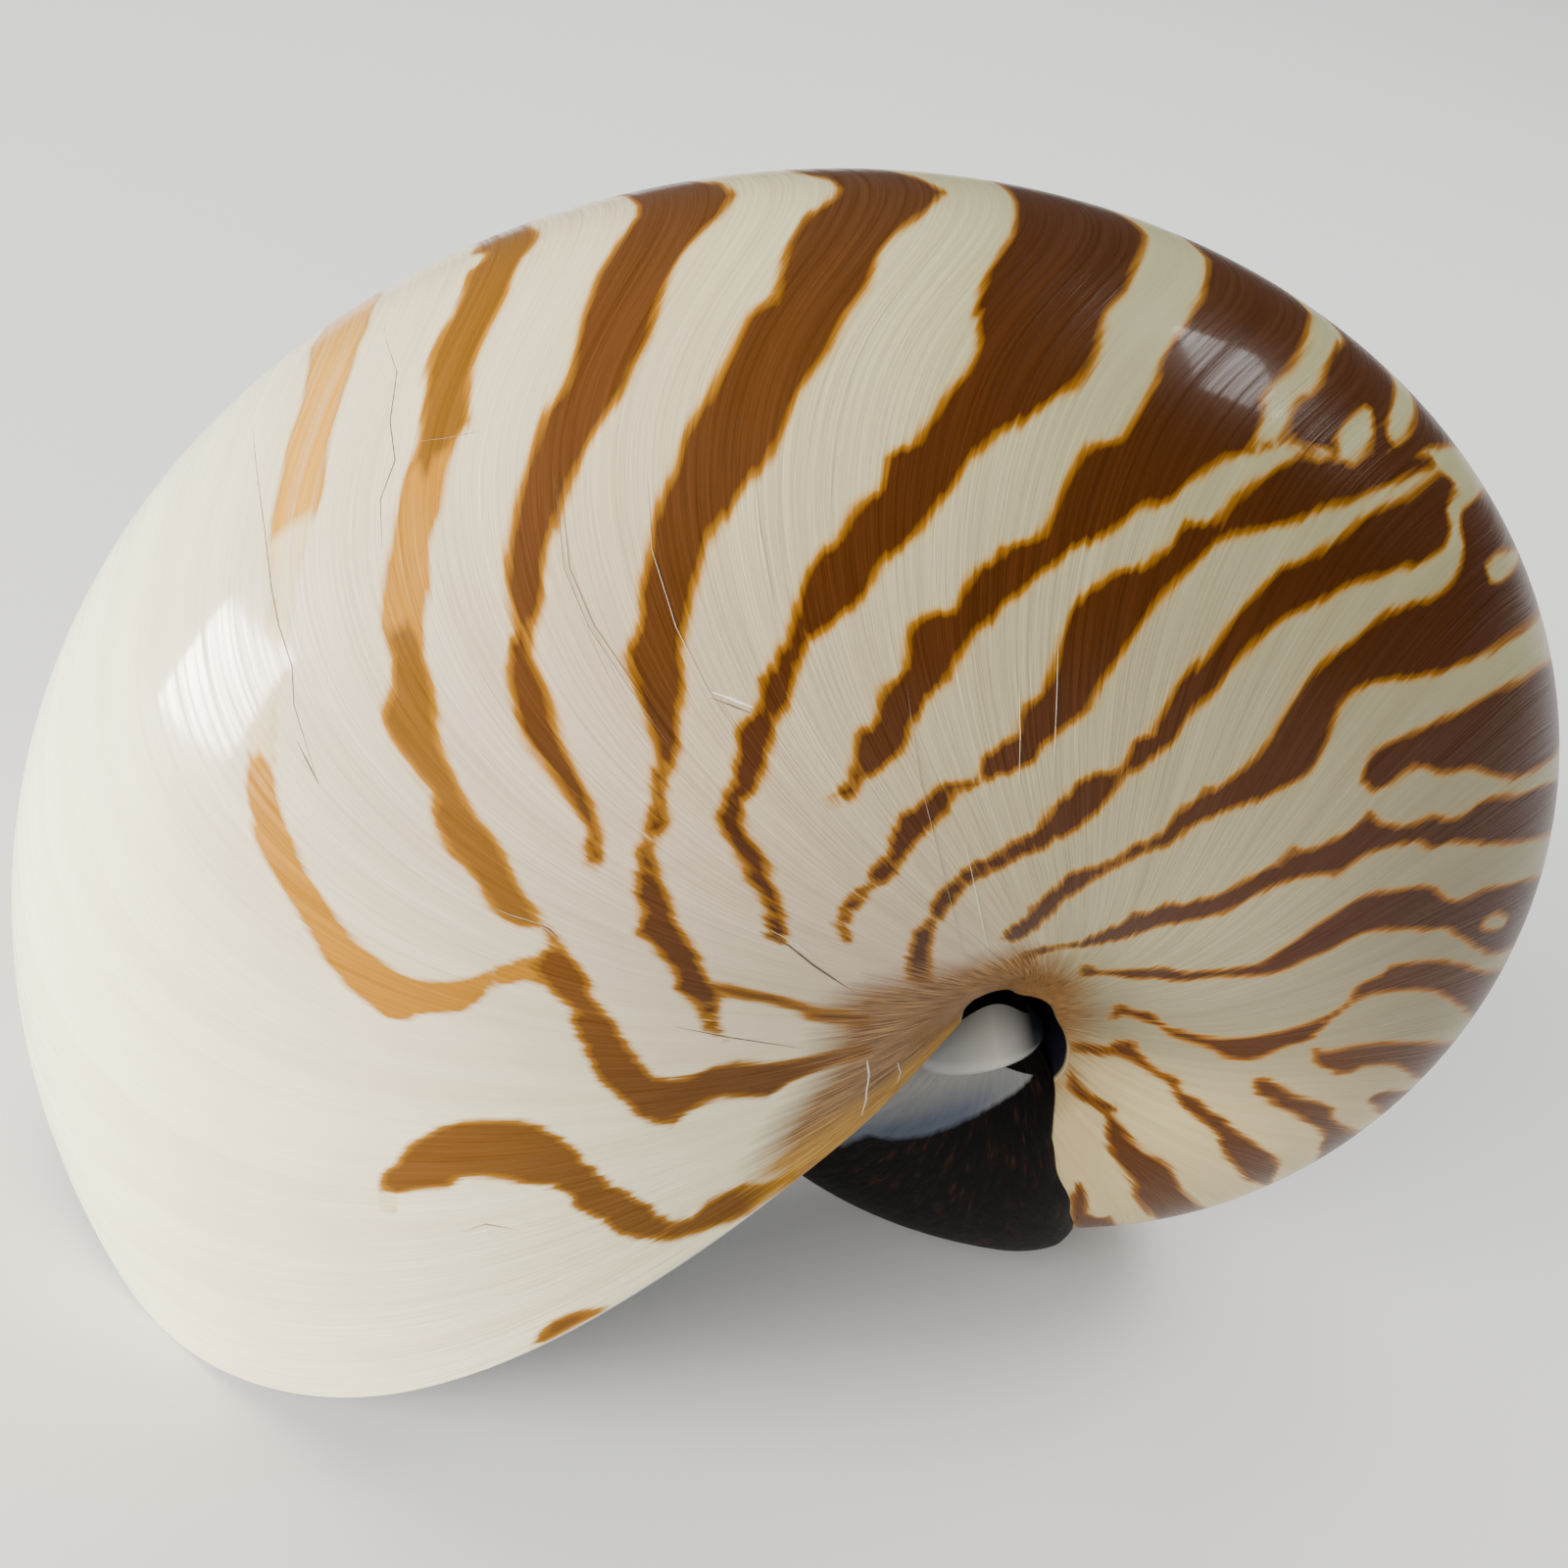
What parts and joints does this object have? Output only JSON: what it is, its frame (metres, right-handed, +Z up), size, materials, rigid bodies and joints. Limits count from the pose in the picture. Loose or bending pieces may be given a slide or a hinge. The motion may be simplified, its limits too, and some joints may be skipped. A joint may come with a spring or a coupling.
{
  "type": "nautilus shell",
  "caption": "Whole shell of a chambered nautilus with a hollow body chamber, standing on its coil and the two crests of its lip.",
  "frame": {"origin": "middle of the box around the shell, on the surface that it stands on", "axes": "+X from the aperture to the back of the coil, +Y out of one flank, square to the plane of symmetry, +Z up"},
  "size_m": [0.1608, 0.0866, 0.1264],
  "materials": {
    "shell": "glossy"
  },
  "bodies": {
    "root": {"shell": "shell"}
  },
  "joints": []
}
